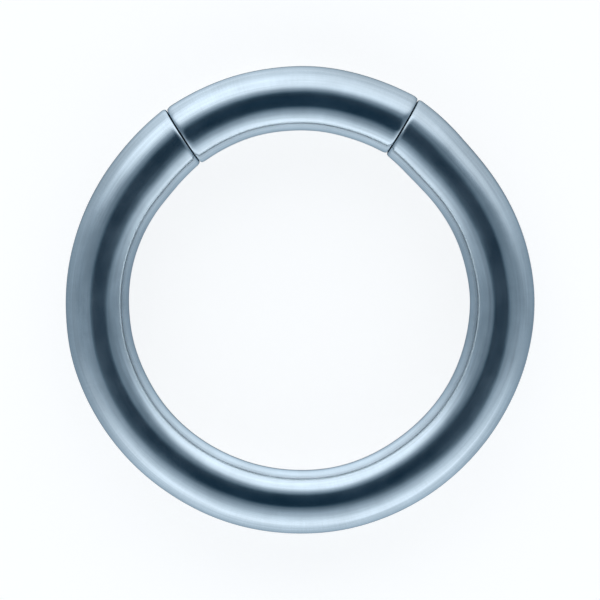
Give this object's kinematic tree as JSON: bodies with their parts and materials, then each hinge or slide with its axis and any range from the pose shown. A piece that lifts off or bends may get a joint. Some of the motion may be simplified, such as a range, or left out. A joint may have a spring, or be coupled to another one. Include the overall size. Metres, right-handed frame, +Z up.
{
  "type": "segment ring",
  "caption": "Round polished wire ring for a body piercing, closed by a curved segment of the same wire that snaps between its two ends.",
  "frame": {"origin": "on the surface that the ring lies on, under the centre of the ring's box", "axes": "+Z up along the ring's own axis, +Y from the centre towards the middle of the segment"},
  "size_m": [0.0218, 0.0219, 0.003],
  "materials": {
    "polished_metal": "polished, cool blue-grey, with fine lines along the wire"
  },
  "bodies": {
    "ring": {"ring_body": "polished_metal"},
    "segment": {"segment": "polished_metal"}
  },
  "joints": [
    {"name": "segment_pull", "type": "slide", "parent": "ring", "child": "segment", "axis": [0, 1, 0], "range_m": [0, 0.006]}
  ]
}
